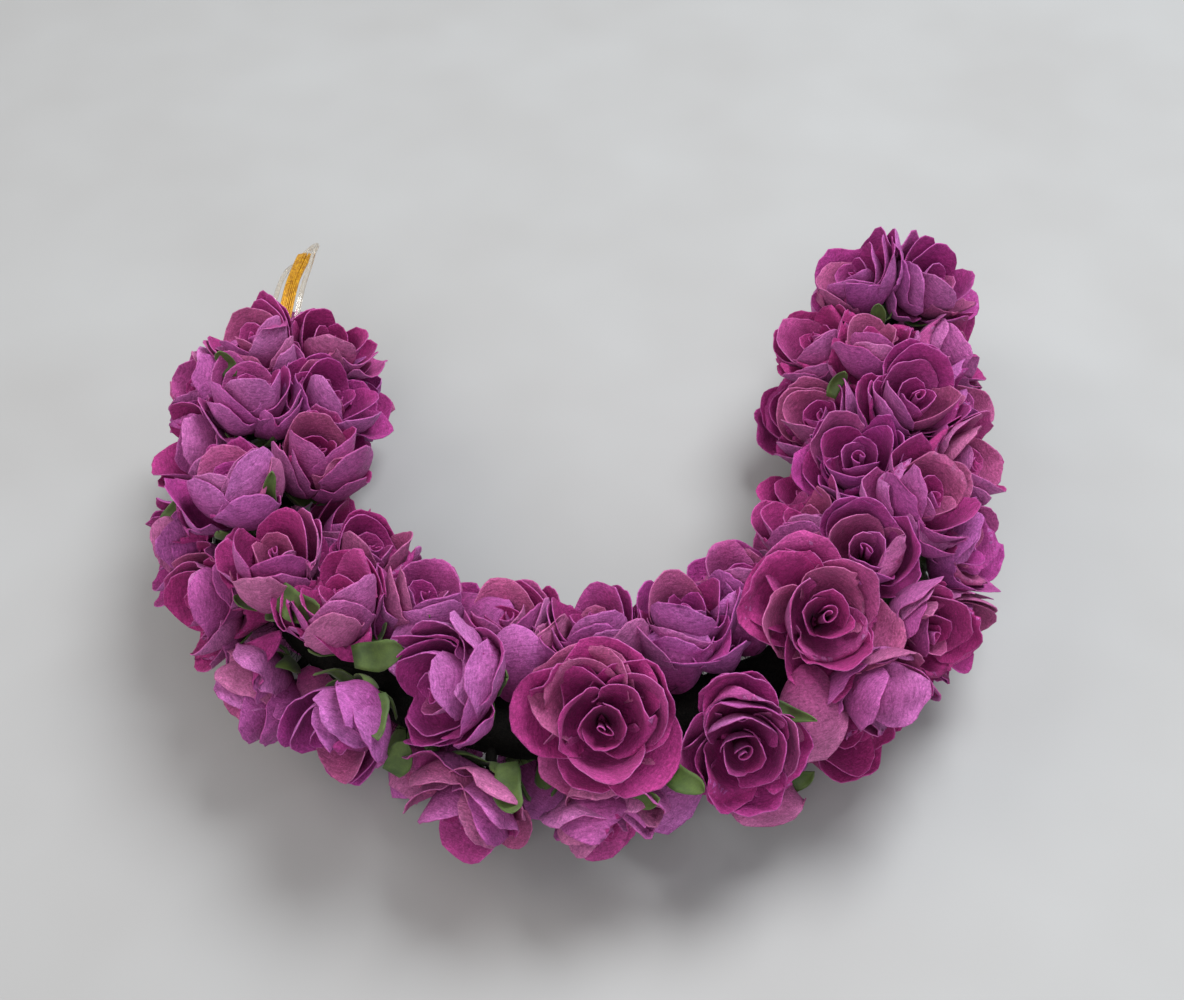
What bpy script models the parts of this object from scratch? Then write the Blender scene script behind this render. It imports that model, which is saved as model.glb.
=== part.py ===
"""A gajra: a C-shaped hair garland of paper roses on a fuzzy dark band, with a clear loop and gold thread at one end.

Sizes are in millimetres and MM turns them into metres. A place on the garland is a station, in millimetres along
the middle of the band from its left end, and an angle round the band, in degrees: 0 is up, 90 is the outer side.
"""

import math
import random

import bmesh
import bpy
from mathutils import Vector

MM = 0.001
SEED = 9

# The run of the band: a left arm, half a circle and a longer right arm, all at one height.
BEND_RADIUS = 50.0
BEND_CENTRE = (-0.487, 11.434)
LEFT_ARM = 28.0
RIGHT_ARM = 38.0
RUN = LEFT_ARM + math.pi * BEND_RADIUS + RIGHT_ARM
BAND_HEIGHT = 17.0
BAND_RADIUS = 4.6
BAND_STEP = 12.0
# The band ends short of the run by these lengths, where a last rose faces out along it.
BAND_ENDS = (6.0, 6.5)
END_SETBACK = 4.0
END_DROOP = 0.35
END_HEADROOM = 4.4

# A rose, from its foot on the stem to its petal tips.
FOOT_REACH = 7.9
ROSE_DEPTH = 10.6
ROSE_RADIUS = 12.6
BELLY_RADIUS = 6.6
UNDER_FOOT = BAND_RADIUS + 0.4
UNDER_DEPTH = BAND_HEIGHT - UNDER_FOOT
PETALS = 5
PETAL_SPREAD = 1.04
UNDER_PETALS = 4
UNDER_SPREAD = 0.86
SCALLOP = 0.7
BLADE = 0.66
CLEARANCE = 0.2
CELL_SHARPNESS = 8.0
LEAST_SPACING = 12.4
HEIGHT_OF_HEAD = 0.5

# The green calyx under a rose: a five-pointed star on a stem that is rooted in the band.
STEM_ROOT = 3.6
STEM_RADIUS = 1.3
CALYX_REACH = 7.6
CALYX_POINT = 4.6
CALYX_NOTCH = 2.2

# The rows of roses as they lie in the photo, as stations and angles.
INNER_ROW = (
    (8, -46), (24, -52), (39, -58), (65, -62), (79, -42), (92, -58), (108, -54),
    (126, -48), (141, -62), (159, -62), (172, -88), (187, -60), (205, -60),
)
LOWER_INNER_ROW = ((13, -92), (52, -80), (199, -102))
TOP_ROW = (
    (11, 8), (27, -2), (45, 12), (60, 14), (74, -10), (91, 24), (109, 30),
    (141, 14), (154, 0), (166, 24), (172, -30), (185, 6), (198, -12), (215, -22),
)
OUTER_ROW = (
    (17, 68), (31, 60), (54, 84), (80, 60), (125, 60), (142, 66), (152, 66),
    (166, 64), (178, 56), (192, 72), (207, 76), (214, 30),
)
LOWER_OUTER_ROW = ((43, 90), (66, 104), (95, 98), (110, 96), (139, 112), (160, 98))
# The hidden row that the garland lies on: evenly spaced roses in joined pairs.
UNDER_ANGLE = 176
UNDER_PITCH = 16.0
UNDER_PAIR_GAP = 13.0
UNDER_START = 7.0
UNDER_PAIRS = 7

# The loop of clear cord and the gold thread that leave the left end, as points from that end.
CORD_RADIUS = 0.42
CORD_ROUTE = (
    (-1.8, 0.7, 2.4), (-1.9, 3.0, 3.6), (-1.9, 6.5, 5.6), (-1.5, 12.0, 6.6), (-0.9, 18.0, 5.6), (0.1, 22.6, 3.3),
    (0.37, 24.6, 2.81), (1.03, 25.97, 2.94), (2.2, 26.54, 3.74), (3.2, 25.97, 4.75), (3.43, 24.6, 5.39),
    (3.2, 22.6, 5.7), (3.1, 18.0, 6.4), (2.7, 12.0, 6.8), (2.3, 6.5, 5.6), (1.9, 3.0, 3.6), (1.8, 0.7, 2.4),
)
THREAD_RADIUS = 0.75
THREAD_ROUTE = ((0.0, 0.8, 2.4), (0.0, 3.0, 3.7), (0.3, 6.5, 5.7), (0.8, 13.0, 6.8), (1.3, 19.0, 6.0), (1.6, 23.0, 5.0))


def clear_scene():
    for obj in list(bpy.data.objects):
        bpy.data.objects.remove(obj, do_unlink=True)


def material(name, colour, roughness, metallic=0.0, alpha=1.0):
    made = bpy.data.materials.new(name)
    made.use_nodes = True
    shader = made.node_tree.nodes["Principled BSDF"]
    shader.inputs["Base Color"].default_value = (*colour, 1.0)
    shader.inputs["Roughness"].default_value = roughness
    shader.inputs["Metallic"].default_value = metallic
    shader.inputs["Alpha"].default_value = alpha
    return made


def band_point(station):
    """The middle of the band at a station, and the direction along the band there."""
    turned = min(max(station - LEFT_ARM, 0.0), math.pi * BEND_RADIUS) / BEND_RADIUS
    along = Vector((math.sin(turned), -math.cos(turned), 0.0))
    over = station - LEFT_ARM - turned * BEND_RADIUS
    x = BEND_CENTRE[0] - BEND_RADIUS * math.cos(turned)
    y = BEND_CENTRE[1] - BEND_RADIUS * math.sin(turned)
    return Vector((x, y, BAND_HEIGHT)) + along * over, along


def frame_at(station, angle):
    """The foot point on the band, the outward axis of a rose there, and the direction along the band."""
    point, along = band_point(station)
    outer = Vector((along.y, -along.x, 0.0))
    turn = math.radians(angle)
    return point, outer * math.sin(turn) + Vector((0, 0, math.cos(turn))), along


def places():
    """Every rose's station, angle and row name, with a little seeded scatter."""
    chance = random.Random(SEED)
    rows = (
        ("inner", INNER_ROW), ("lower_inner", LOWER_INNER_ROW), ("top", TOP_ROW),
        ("outer", OUTER_ROW), ("lower_outer", LOWER_OUTER_ROW),
    )
    found = [(station, angle, name) for name, row in rows for station, angle in row]
    found += [(0.0, 0.0, "end"), (RUN, 0.0, "end")]
    for number in range(2 * UNDER_PAIRS):
        swing = chance.uniform(-6, 6)
        station = UNDER_START + 2 * UNDER_PITCH * (number // 2) + UNDER_PAIR_GAP * (number % 2)
        found.append((station, UNDER_ANGLE + swing, "under"))
    return found


def end_of_band(side):
    """The middle of the band's left (0) or right (1) end, and the direction out of the garland there."""
    point, along = band_point((RUN - BAND_ENDS[1]) if side else BAND_ENDS[0])
    return point, along if side else -along


class Rose:
    """One rose: its axes, its foot, the middle of its head, and the cell that its petals may fill."""

    def __init__(self, station, angle, row, chance):
        point, axis, along = frame_at(station, angle)
        if row == "end":
            point, out = end_of_band(station > 0)
            point -= out * END_SETBACK
            axis, along = (out - Vector((0, 0, END_DROOP))).normalized(), Vector((1, 0, 0))
        self.row = row
        self.depth = UNDER_DEPTH if row == "under" else ROSE_DEPTH
        self.size = 1.0 if row == "under" else chance.uniform(0.94, 1.05)
        lean = Vector([chance.uniform(-0.16, 0.16) for _ in range(3)])
        self.base = point
        self.foot = point + axis * (UNDER_FOOT if row == "under" else FOOT_REACH)
        self.axis = (axis + lean).normalized()
        self.side = (along - self.axis * along.dot(self.axis)).normalized()
        self.other = self.axis.cross(self.side)
        self.spin = chance.uniform(0, 2 * math.pi)
        self.open = chance.uniform(-1, 1)
        self.head = self.foot + self.axis * self.depth * HEIGHT_OF_HEAD
        self.walls = [(Vector((0, 0, 1)), BAND_HEIGHT + END_HEADROOM - self.head.z)] if row == "end" else []

    def place(self, radius, height, turn):
        """A point of the rose from its radius, height and turn round the axis."""
        turn += self.spin
        across = self.side * math.cos(turn) + self.other * math.sin(turn)
        return self.foot + across * radius * self.size + self.axis * height * self.depth / ROSE_DEPTH

    def within(self, point, margin, floor=0.0):
        """The point drawn towards the head so that it stays inside the rose's cell and above the ground."""
        away = point - self.head
        pressed = 0.0
        for normal, distance in self.walls:
            pressed += max(0.0, normal.dot(away) / (distance - margin)) ** CELL_SHARPNESS
        kept = self.head + away / (1.0 + pressed) ** (1.0 / CELL_SHARPNESS)
        kept.z = max(kept.z, floor)
        return kept


def spread(roses):
    """Moves apart the heads that are too close, so that each has room for its petals."""
    for _ in range(30):
        for first in roses:
            for second in roses:
                apart = first.head - second.head
                short = LEAST_SPACING - apart.length
                if first is second or short <= 0 or "under" in (first.row, second.row):
                    continue
                push = apart.normalized() * short * 0.25
                for rose, step in ((first, push), (second, -push)):
                    step = step - rose.axis * step.dot(rose.axis)
                    rose.head += step
                    rose.foot += step * 0.6


def build_walls(roses, groups):
    """Gives each rose the planes halfway to its neighbours that aren't joined to it."""
    for index, rose in enumerate(roses):
        for other_index, other in enumerate(roses):
            apart = other.head - rose.head
            if index == other_index or apart.length > 2.4 * ROSE_RADIUS:
                continue
            if groups[index] == groups[other_index]:
                continue
            rose.walls.append((apart.normalized(), apart.length / 2))


def blade(name, rows, rose):
    """A petal: rows of points from root to rim, made BLADE thick with triangles alike on both faces."""
    margin = BLADE / 2 + CLEARANCE
    grid = [[rose.within(point, margin, BLADE / 2) for point in row] for row in rows]
    mesh = bmesh.new()
    sheet = [[mesh.verts.new(point * MM) for point in row] for row in grid]
    for lower, upper in zip(sheet, sheet[1:]):
        fill_strip(mesh, lower, upper)
    bmesh.ops.recalc_face_normals(mesh, faces=mesh.faces)
    thicken(mesh)
    return finish(name, mesh)


def fill_strip(mesh, lower, upper):
    """Triangles between two rows of points, of the same or a different count."""
    left, right = 0, 0
    while left < len(lower) - 1 or right < len(upper) - 1:
        low_share = (left + 1) / max(len(lower) - 1, 1) if left < len(lower) - 1 else 9.0
        high_share = (right + 1) / max(len(upper) - 1, 1) if right < len(upper) - 1 else 9.0
        if low_share <= high_share:
            mesh.faces.new((lower[left], lower[left + 1], upper[right]))
            left += 1
        else:
            mesh.faces.new((lower[left], upper[right + 1], upper[right]))
            right += 1


def thicken(mesh):
    """Turns the open sheet into a closed blade, half its thickness to each side and never below the ground."""
    mesh.normal_update()
    tops = list(mesh.verts)
    faces = list(mesh.faces)
    border = [edge for edge in mesh.edges if edge.is_boundary]
    rims = []
    for edge in border:
        loop = edge.link_loops[0]
        rims.append((loop.vert, loop.link_loop_next.vert))
    half = BLADE / 2 * MM
    centres = {vert: vert.co.copy() for vert in tops}
    normals = {vert: vert.normal.copy() for vert in tops}
    below = {vert: mesh.verts.new(centres[vert] - normals[vert] * half) for vert in tops}
    for vert in tops:
        vert.co = centres[vert] + normals[vert] * half
    for face in faces:
        mesh.faces.new([below[vert] for vert in reversed(face.verts)])
    for start, end in rims:
        mesh.faces.new((start, below[start], below[end]))
        mesh.faces.new((start, below[end], end))
    for vert, centre in centres.items():
        if centre.z < (BLADE / 2 + 0.001) * MM:
            upper, lower = (vert, below[vert]) if vert.co.z > below[vert].co.z else (below[vert], vert)
            upper.co.z, lower.co.z = BLADE * MM, 0.0
    for vert in mesh.verts:
        vert.co.z = max(vert.co.z, 0.0)


def finish(name, mesh):
    bmesh.ops.recalc_face_normals(mesh, faces=mesh.faces)
    data = bpy.data.meshes.new(name)
    mesh.to_mesh(data)
    mesh.free()
    obj = bpy.data.objects.new(name, data)
    bpy.context.scene.collection.objects.link(obj)
    return obj


def petal_rows(rose, turn, half_angle, profile):
    """Points of one petal. Its profile gives each row's count, radius, height, share of the full width, and how far
    one edge is drawn in and up over the petal before, while the other is drawn out and down under the next."""
    rows = []
    for count, radius, height, share, overlap in profile:
        row = []
        for step in range(count):
            across = 2 * step / (count - 1) - 1 if count > 1 else 0.0
            out = radius * (1 - 0.12 * across * across) - 0.5 * overlap * across
            row.append(rose.place(out, height + overlap * across, turn + across * half_angle * share))
        rows.append(row)
    return rows


def heart(name, rose):
    """The rolled heart of a rose: a scalloped cup of inner petals round a bud, whose foot holds the other roots.
    That of a hidden rose, which is pressed on the ground, is only the bud."""
    openness = 0.5 * rose.open
    cup = ((9.6, 4.9 + openness), (9.0, 3.9 + openness), (6.4, 2.2), (8.6, 1.0))
    levels = ((0.0, 2.2), *cup)
    sides = PETALS
    if rose.row == "under":
        levels, sides = ((0.0, 2.2), (9.6, 3.0)), UNDER_PETALS
    mesh = bmesh.new()
    rings = []
    for number, (height, radius) in enumerate(levels):
        ring = []
        for side in range(sides):
            turn = 2 * math.pi * (side + 0.5) / sides
            scallop = SCALLOP * math.sin(2 * turn) if number in (1, 2) else 0.0
            spot = rose.place(radius, height + scallop, turn)
            ring.append(mesh.verts.new(rose.within(spot, CLEARANCE) * MM))
        rings.append(ring)
    for lower, upper in zip(rings, rings[1:]):
        for side in range(sides):
            after = (side + 1) % sides
            mesh.faces.new((lower[side], lower[after], upper[side]))
            mesh.faces.new((lower[after], upper[after], upper[side]))
    mesh.faces.new(reversed(rings[0]))
    mesh.faces.new(rings[-1])
    return finish(name, mesh)


def outer_petals(name, rose):
    """The flared outer petals of one rose, each rooted in one side of the heart."""
    wide = ROSE_RADIUS + 0.5 * rose.open
    rim = 5.8 - 0.8 * rose.open
    profile = ((1, 1.2, 1.7, 0.0, 0.0), (2, BELLY_RADIUS, 3.0, 0.66, 0.4), (3, wide, rim, 1.0, 0.9))
    count, spread_share = PETALS, PETAL_SPREAD
    if rose.row == "under":
        profile = ((1, 1.0, 1.7, 0.0, 0.0), (2, 6.6, 4.6, 0.72, 0.0), (3, 11.4, 9.9, 1.0, 0.0))
        count, spread_share = UNDER_PETALS, UNDER_SPREAD
    petals = []
    for number in range(count):
        turn = 2 * math.pi * (number + 1) / count
        rows = petal_rows(rose, turn, spread_share * math.pi / count, profile)
        petals.append(blade(f"{name}_petal_{number}", rows, rose))
    return petals


def fuse(base, others, solver="MANIFOLD"):
    """Joins the other solids to the base by a Boolean union and removes them."""
    group = bpy.data.collections.new(base.name + "_joined")
    bpy.context.scene.collection.children.link(group)
    for obj in others:
        bpy.context.scene.collection.objects.unlink(obj)
        group.objects.link(obj)
    union = base.modifiers.new("union", "BOOLEAN")
    union.operation = "UNION"
    union.operand_type = "COLLECTION"
    union.collection = group
    union.solver = solver
    bpy.context.view_layer.update()
    graph = bpy.context.evaluated_depsgraph_get()
    joined = bpy.data.meshes.new_from_object(base.evaluated_get(graph))
    base.modifiers.clear()
    base.data = joined
    for obj in others:
        bpy.data.objects.remove(obj, do_unlink=True)
    bpy.data.collections.remove(group)


def tube_from(name, points, radius, resolution, scene_collection):
    curve = bpy.data.curves.new(name, "CURVE")
    curve.dimensions = "3D"
    curve.bevel_depth = radius * MM
    curve.bevel_resolution = resolution
    curve.use_fill_caps = True
    line = curve.splines.new("POLY")
    line.points.add(len(points) - 1)
    for spot, point in zip(line.points, points):
        spot.co = (*(Vector(point) * MM), 1.0)
    obj = bpy.data.objects.new(name, curve)
    scene_collection.objects.link(obj)
    return obj


def as_mesh(obj):
    """The curve object turned into a welded mesh object of the same name."""
    bpy.context.view_layer.update()
    graph = bpy.context.evaluated_depsgraph_get()
    mesh = bmesh.new()
    mesh.from_mesh(bpy.data.meshes.new_from_object(obj.evaluated_get(graph)))
    name = obj.name
    bpy.data.objects.remove(obj, do_unlink=True)
    bmesh.ops.remove_doubles(mesh, verts=mesh.verts, dist=1e-6)
    return finish(name, mesh)


def band_tube():
    """The fuzzy band, a plain tube along the whole run."""
    first, last = BAND_ENDS[0], RUN - BAND_ENDS[1]
    count = round((last - first) / BAND_STEP)
    points = [band_point(first + (last - first) * step / count)[0] for step in range(count + 1)]
    return as_mesh(tube_from("band_and_calyxes", points, BAND_RADIUS, 1, bpy.context.scene.collection))


def calyx(name, rose):
    """A stem rooted in the band that widens into a five-pointed star behind the petals."""
    points = 5
    mesh = bmesh.new()
    top_foot = rose.foot - rose.axis * (FOOT_REACH - CALYX_REACH)
    root_point = rose.base + (rose.foot - rose.base).normalized() * STEM_ROOT
    root, star = [], []
    for step in range(points):
        turn = 2 * math.pi * step / points + rose.spin
        across = rose.side * math.cos(turn) + rose.other * math.sin(turn)
        root.append(mesh.verts.new((root_point + across * STEM_RADIUS) * MM))
        for half_step, radius in ((0.0, CALYX_POINT), (0.5, CALYX_NOTCH)):
            turn_at = turn + 2 * math.pi * half_step / points
            out = rose.side * math.cos(turn_at) + rose.other * math.sin(turn_at)
            spot = rose.within(top_foot + out * radius, CLEARANCE)
            star.append(mesh.verts.new(spot * MM))
    for step in range(points):
        after = (step + 1) % points
        tip, notch, next_tip = star[2 * step], star[2 * step + 1], star[2 * after]
        mesh.faces.new((root[step], notch, tip))
        mesh.faces.new((root[step], root[after], notch))
        mesh.faces.new((root[after], next_tip, notch))
    mesh.faces.new(root)
    mesh.faces.new(star)
    return finish(name, mesh)


def end_route(offsets):
    """A smooth run through a route's own points, which are given across, out and up from the band's left end."""
    start, out = end_of_band(0)
    across = Vector((1, 0, 0))
    points = [start + across * x + out * y + Vector((0, 0, z)) for x, y, z in offsets]
    smooth = []
    padded = [points[0], *points, points[-1]]
    for first in range(1, len(padded) - 2):
        p0, p1, p2, p3 = (Vector(p) for p in padded[first - 1:first + 3])
        for step in range(2):
            t = step / 2
            smooth.append(
                0.5 * ((2 * p1) + (p2 - p0) * t + (2 * p0 - 5 * p1 + 4 * p2 - p3) * t * t
                       + (3 * p1 - p0 - 3 * p2 + p3) * t ** 3)
            )
    smooth.append(Vector(points[-1]))
    return smooth


def main():
    clear_scene()
    garland = bpy.data.collections.new("rose_gajra")
    bpy.context.scene.collection.children.link(garland)
    purple = material("rose_paper", (0.32, 0.03, 0.22), 0.75)
    dark = material("fuzzy_band", (0.03, 0.03, 0.02), 0.95)

    chance = random.Random(SEED + 1)
    spots = places()
    roses = [Rose(station, angle, row, chance) for station, angle, row in spots]
    spread(roses)
    loose = len(roses) - 2 * UNDER_PAIRS
    groups = [index if index < loose else loose + (index - loose) // 2 for index in range(len(roses))]
    build_walls(roses, groups)

    solids = []
    for group in sorted(set(groups)):
        members = [index for index in range(len(roses)) if groups[index] == group]
        row = roses[members[0]].row
        count = sum(1 for solid in solids if solid.name.startswith(f"rose_{row}_")) + 1
        name = f"rose_{row}_{count:02d}"
        base = heart(name, roses[members[0]])
        pieces = outer_petals(name, roses[members[0]])
        for index in members[1:]:
            pieces.append(heart(name + "_second", roses[index]))
            pieces.extend(outer_petals(name + "_second", roses[index]))
        fuse(base, pieces)
        base.data.materials.clear()
        base.data.materials.append(purple)
        solids.append(base)

    band = band_tube()
    fuse(band, [calyx(f"calyx_{number}", rose) for number, rose in enumerate(roses[:loose])])
    band.data.materials.clear()
    band.data.materials.append(dark)
    solids.append(band)
    loop = tube_from("elastic_loop", end_route(CORD_ROUTE), CORD_RADIUS, 2, garland)
    loop.data.materials.append(material("clear_cord", (0.85, 0.86, 0.85), 0.15, alpha=0.5))
    thread = tube_from("gold_thread", end_route(THREAD_ROUTE), THREAD_RADIUS, 2, garland)
    thread.data.materials.append(material("gold_thread", (0.8, 0.5, 0.12), 0.35, metallic=0.9))
    for solid in solids:
        for holder in list(solid.users_collection):
            holder.objects.unlink(solid)
        garland.objects.link(solid)


main()
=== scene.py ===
import math
import random

import bpy
import numpy as np
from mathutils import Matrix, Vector


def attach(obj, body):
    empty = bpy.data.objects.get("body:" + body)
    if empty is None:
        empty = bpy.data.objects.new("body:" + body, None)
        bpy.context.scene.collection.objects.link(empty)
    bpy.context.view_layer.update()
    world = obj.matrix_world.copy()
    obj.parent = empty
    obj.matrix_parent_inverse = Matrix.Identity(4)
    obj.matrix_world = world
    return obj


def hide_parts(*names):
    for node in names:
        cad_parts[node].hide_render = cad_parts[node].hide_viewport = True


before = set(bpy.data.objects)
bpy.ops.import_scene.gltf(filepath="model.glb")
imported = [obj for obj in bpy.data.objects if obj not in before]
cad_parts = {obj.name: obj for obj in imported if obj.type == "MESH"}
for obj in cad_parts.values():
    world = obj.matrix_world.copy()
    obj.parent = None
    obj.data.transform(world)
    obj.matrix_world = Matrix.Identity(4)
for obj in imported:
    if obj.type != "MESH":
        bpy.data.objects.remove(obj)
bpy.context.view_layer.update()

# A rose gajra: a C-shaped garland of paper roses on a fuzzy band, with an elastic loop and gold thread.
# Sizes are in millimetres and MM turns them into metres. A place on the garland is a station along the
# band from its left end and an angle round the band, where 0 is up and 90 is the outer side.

MM = 0.001

# The picture's size in pixels, the camera of the photo, and the ways right, up and nearer in the picture.
PICTURE = (1184, 1000)
FOCAL_PIXELS = 1542.0
SENSOR = 36.0
CAMERA_TARGET = Vector((1.513, 3.434, 17.0))
CAMERA_DISTANCE = 240.0
CAMERA_RISE = math.radians(48.7)
RIGHT = Vector((1, 0, 0))
UPWARD = Vector((0, math.sin(CAMERA_RISE), math.cos(CAMERA_RISE)))
NEARER = Vector((0, -math.cos(CAMERA_RISE), math.sin(CAMERA_RISE)))

# The layout of the garland, as in the part source. A row of roses is pairs of a station and an angle.
SEED = 9
BEND_RADIUS = 50.0
BEND_CENTRE = (-0.487, 11.434)
LEFT_ARM = 28.0
RIGHT_ARM = 38.0
RUN = LEFT_ARM + math.pi * BEND_RADIUS + RIGHT_ARM
BAND_HEIGHT = 17.0
BAND_RADIUS = 4.6
BAND_ENDS = (6.0, 6.5)
END_SETBACK = 4.0
END_DROOP = 0.35
END_HEADROOM = 4.4
FOOT_REACH = 7.9
ROSE_DEPTH = 10.6
NEAR_REACH = 30.0
UNDER_FOOT = BAND_RADIUS + 0.4
UNDER_DEPTH = BAND_HEIGHT - UNDER_FOOT
LEAST_SPACING = 12.4
HEIGHT_OF_HEAD = 0.5
ROWS = {
    "inner": (
        (8, -46), (24, -52), (39, -58), (65, -62), (79, -42), (92, -58), (108, -54),
        (126, -48), (141, -62), (159, -62), (172, -88), (187, -60), (205, -60),
    ),
    "lower_inner": ((13, -92), (52, -80), (199, -102)),
    "top": (
        (11, 8), (27, -2), (45, 12), (60, 14), (74, -10), (91, 24), (109, 30),
        (141, 14), (154, 0), (166, 24), (172, -30), (185, 6), (198, -12), (215, -22),
    ),
    "outer": (
        (17, 68), (31, 60), (54, 84), (80, 60), (125, 60), (142, 66), (152, 66),
        (166, 64), (178, 56), (192, 72), (207, 76), (214, 30),
    ),
    "lower_outer": ((43, 90), (66, 104), (95, 98), (110, 96), (139, 112), (160, 98)),
}
UNDER_ANGLE = 176
UNDER_PITCH = 16.0
UNDER_PAIR_GAP = 13.0
UNDER_START = 7.0
UNDER_PAIRS = 7
STEM_ROOT = 3.6
STEM_RADIUS = 0.8
UNDER_SWING = 6
ROSE_LEAN = 0.16
ROSE_SIZES = (0.94, 1.05)
BLOOM_MIDDLE = 0.35
BLOOM_SPREAD = 0.3
SPREAD_ROUNDS = 30
SPREAD_STEP = 0.25
FOOT_FOLLOWS = 0.6

# The elastic loop and the gold thread, as points across, out and up from the band's left end.
CORD_DIAMETER = 0.84
CORD_ROUTE = (
    (-1.8, 0.7, 2.4), (-1.9, 3.0, 3.6), (-1.9, 6.5, 5.6), (-1.5, 12.0, 6.6), (-0.9, 18.0, 5.6),
    (0.1, 22.6, 3.3), (0.37, 24.6, 2.81), (1.03, 25.97, 2.94), (2.2, 26.54, 3.74), (3.2, 25.97, 4.75),
    (3.43, 24.6, 5.39), (3.2, 22.6, 5.7), (3.1, 18.0, 6.4), (2.7, 12.0, 6.8), (2.3, 6.5, 5.6),
    (1.9, 3.0, 3.6), (1.8, 0.7, 2.4),
)
THREAD_ROUTE = (
    (0.0, 0.8, 2.4), (0.0, 3.0, 3.7), (0.3, 6.5, 5.7), (0.8, 13.0, 6.8), (1.3, 19.0, 6.0), (1.6, 23.0, 5.0),
)
# The bundle's strands, its half width and half depth, how far it narrows at the root, and one strand.
THREAD_STRANDS = 30
THREAD_BUNDLE = (1.3, 0.36)
THREAD_ROOT = 0.75
STRAND_RADIUS = 0.12
STRAND_WAVE = 0.08

# How petals fill the space between roses. A lead is the share that the more open or the seen one gains.
CROWD_SHARPNESS = 3.4
CROWD_LIFT = 0.6
CROWD_ROOM = 1.26
REACH = (10.9, 14.6)
EASE = 0.1
BLOOM_LEAD = 0.2
SPIN_LEAD = 0.04
SEEN_LEAD = 0.14
LEAST_SHARE = 0.36
LEAST_ROOM = 2.0
GROUND_SOFTNESS = 2.0

# The paper of a petal, and how far its round rim goes to each side of its tip.
PAPER = 0.15
ROUND = math.radians(118)
CUT_EDGE = 0.025
RIM_ROW = 0.02
ROW_CROWDING = 1.35
TONE_STEP = 50


# The rings of petals from the heart out, with counts and profiles for a closed rose and for an open one.
# A profile is points of radius and height from root to rim. A wrap is the radius a petal is bent to across
# its root, middle and rim. The place goes from 0 in the heart to 1 at the outside.
RINGS = (
    dict(count=(3, 3), width=7.0, wrap=(1.8, 2.7, 2.9), cup=0.1, roll=0.15, twist=0.35, place=0.05, room=0.8,
         grid=(11, 7),
         closed=((0.5, 1.2), (1.6, 3.4), (2.4, 5.8), (2.5, 7.8), (2.2, 9.2)),
         open=((0.5, 1.2), (1.6, 3.4), (2.6, 5.6), (2.9, 7.4), (3.2, 8.8))),
    dict(count=(3, 3), width=13.0, wrap=(3.4, 5.4, 6.0), cup=0.3, roll=0.4, twist=0.55, place=0.3, room=0.84,
         grid=(23, 8),
         closed=((0.8, 1.0), (3.4, 2.6), (4.9, 5.2), (5.1, 8.2), (4.5, 11.2)),
         open=((0.8, 1.0), (3.5, 2.5), (5.4, 5.0), (6.1, 7.6), (6.7, 10.0))),
    dict(count=(3, 3), width=14.0, wrap=(4.5, 6.6, 8.0), cup=0.7, roll=0.6, twist=0.8, place=0.6, room=0.9,
         grid=(25, 9),
         closed=((0.9, 0.8), (4.4, 1.9), (6.7, 4.4), (7.1, 7.4), (6.0, 10.4)),
         open=((0.9, 0.8), (4.4, 2.0), (7.4, 4.0), (9.3, 6.2), (10.4, 8.0))),
    dict(count=(3, 4), width=14.4, wrap=(4.5, 7.0, 9.6), cup=1.0, roll=0.7, twist=1.0, place=0.9, room=0.98,
         grid=(26, 9),
         closed=((1.0, 0.6), (5.2, 1.2), (8.4, 3.2), (9.1, 6.2), (8.4, 9.2)),
         open=((1.0, 0.6), (4.8, 1.4), (8.6, 2.6), (11.2, 3.8), (13.2, 4.4))),
    dict(count=(3, 3), width=13.8, wrap=(4.5, 7.2, 10.4), cup=1.0, roll=0.8, twist=0.9, place=1.0, room=1.08,
         grid=(25, 9),
         closed=((1.0, 0.4), (5.6, 0.6), (9.4, 1.8), (10.8, 4.2), (11.0, 7.0)),
         open=((1.0, 0.4), (4.8, 0.4), (8.8, 0.2), (11.6, -0.4), (13.6, -1.2))),
)
# The shares of a petal's length that its wraps are for, and the bloom from which a rose is an open one.
WRAP_AT = (0.1, 0.55, 1.0)
OPEN_FROM = 0.36
# How petals differ: the ranges of their width, length and wrap as shares, and the swing of their bloom.
PETAL_WIDTHS = (0.84, 1.1)
PETAL_LENGTHS = (0.88, 1.03)
PETAL_WRAPS = (0.9, 1.2)
BLOOM_SWING = 0.18
# The waves round a petal's edge: how many, and their height as a share of half the petal's width.
EDGE_WAVES = ((3, 0.03), (7, 0.018), (16, 0.012))
# The turn from ring to ring and how far a petal strays from its own, and the rolled strip in the heart.
RING_TURN = 1.9
PETAL_SWING = 0.35
HEART_ROOT = 3.0
HEART_TOP = 8.3
# The heart's low tone makes it darker: painted shade in the deep middle of the rose.
HEART_SHADE_TONE = 0.15
# The rings of a hidden rose, and the grid of its petals.
HIDDEN_RINGS = (1, 3)
HIDDEN_GRID = (8, 5)
# The chances of a folded rim and of a missing petal, ring by ring.
FOLD_CHANCE = (0.0, 0.2, 0.35, 0.35, 0.3)
MISSING = (0.0, 0.0, 0.05, 0.12, 0.15)
# The paper's crumple as waves of a length and a height, the sharpness of their crests, and the rim's waves.
CRUMPLE = ((9.0, 0.55), (6.0, 0.38), (3.6, 0.2))
CRISP = 0.97
RUFFLE = 0.4
# A folded rim: the fold's tilt, place and bend, the chance that it goes inwards, its radius and its height.
FOLD_TILT = 0.9
FOLD_PLACE = (0.38, 0.75)
FOLD_BEND = (1.5, 2.7)
FOLD_INWARDS = 0.15
FOLD_RADIUS = 1.3
FOLD_LIFT = 0.35

# Rings left out of roses whose own petals take their place.
LEFT_OUT = {"top_07": (3,), "top_08": (3,)}
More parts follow.
